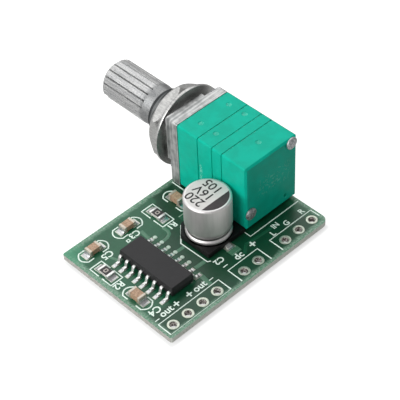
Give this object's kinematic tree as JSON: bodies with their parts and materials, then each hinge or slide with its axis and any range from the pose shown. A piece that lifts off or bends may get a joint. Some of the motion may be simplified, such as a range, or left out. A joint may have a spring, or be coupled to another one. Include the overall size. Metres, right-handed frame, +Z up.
{
  "type": "audio amplifier board",
  "caption": "Small green stereo amplifier board with a switched volume potentiometer, a surface-mounted chip, an electrolytic can and a row of plated wire holes.",
  "frame": {"origin": "under the middle of the whole part's box, on the plane of the pin tips", "axes": "+X along the row of wire holes, +Y out along the volume shaft, +Z up from the board"},
  "size_m": [0.03, 0.036, 0.0138],
  "materials": {
    "solder_mask": "satin green solder mask over glass fibre",
    "tinned_copper": "tinned",
    "chip_epoxy": "fine matt epoxy",
    "lead_tin": "matt tin plating",
    "can_aluminium": "brushed aluminium with a printed top",
    "base_plastic": "black moulded plastic",
    "white_ceramic": "white ceramic",
    "dark_glass": "dark glass coat",
    "brown_ceramic": "brown ceramic",
    "die_cast": "die-cast zinc alloy",
    "green_moulding": "green moulded plastic",
    "rivet_metal": "peened metal",
    "shaft_metal": "knurled aluminium",
    "spring_steel": "spring steel",
    "rotor_plastic": "ivory moulded plastic",
    "contact_bronze": "spring bronze",
    "carbon_track": "printed carbon",
    "plated_steel": "nickel-plated steel",
    "solder": "solder"
  },
  "bodies": {
    "board": {"circuit_board": "solder_mask", "wire_eyelets": "tinned_copper", "solder_lands": "tinned_copper", "chip_body": "chip_epoxy", "chip_leads": "lead_tin", "can_base": "base_plastic", "can_shell": "can_aluminium", "can_terminals": "lead_tin", "resistor_r1_body": "white_ceramic", "resistor_r1_coat": "dark_glass", "resistor_r1_ends": "lead_tin", "resistor_r2_body": "white_ceramic", "resistor_r2_coat": "dark_glass", "resistor_r2_ends": "lead_tin", "capacitor_c1_body": "brown_ceramic", "capacitor_c1_ends": "lead_tin", "capacitor_c3_body": "brown_ceramic", "capacitor_c3_ends": "lead_tin", "capacitor_c4_body": "brown_ceramic", "capacitor_c4_ends": "lead_tin", "capacitor_c5_body": "brown_ceramic", "capacitor_c5_ends": "lead_tin", "front_plate": "die_cast", "front_housing": "green_moulding", "middle_housing": "green_moulding", "rear_wafer": "green_moulding", "switch_housing": "green_moulding", "rivets": "rivet_metal", "front_track": "carbon_track", "rear_track": "carbon_track", "front_terminals": "lead_tin", "rear_terminals": "lead_tin", "switch_terminals": "lead_tin", "switch_leaf": "contact_bronze", "panel_nut": "plated_steel", "panel_washer": "plated_steel", "pot_solder": "solder"},
    "shaft": {"volume_shaft": "shaft_metal", "retaining_ring": "spring_steel", "front_rotor": "rotor_plastic", "rear_rotor": "rotor_plastic", "front_wiper": "contact_bronze", "rear_wiper": "contact_bronze", "switch_cam": "rotor_plastic"}
  },
  "joints": [
    {"name": "shaft_turn", "type": "hinge", "parent": "board", "child": "shaft", "pos_m": [0.00898, 0.00226, 0.00783], "axis": [0, -1, 0], "range_deg": [0, 300]}
  ]
}
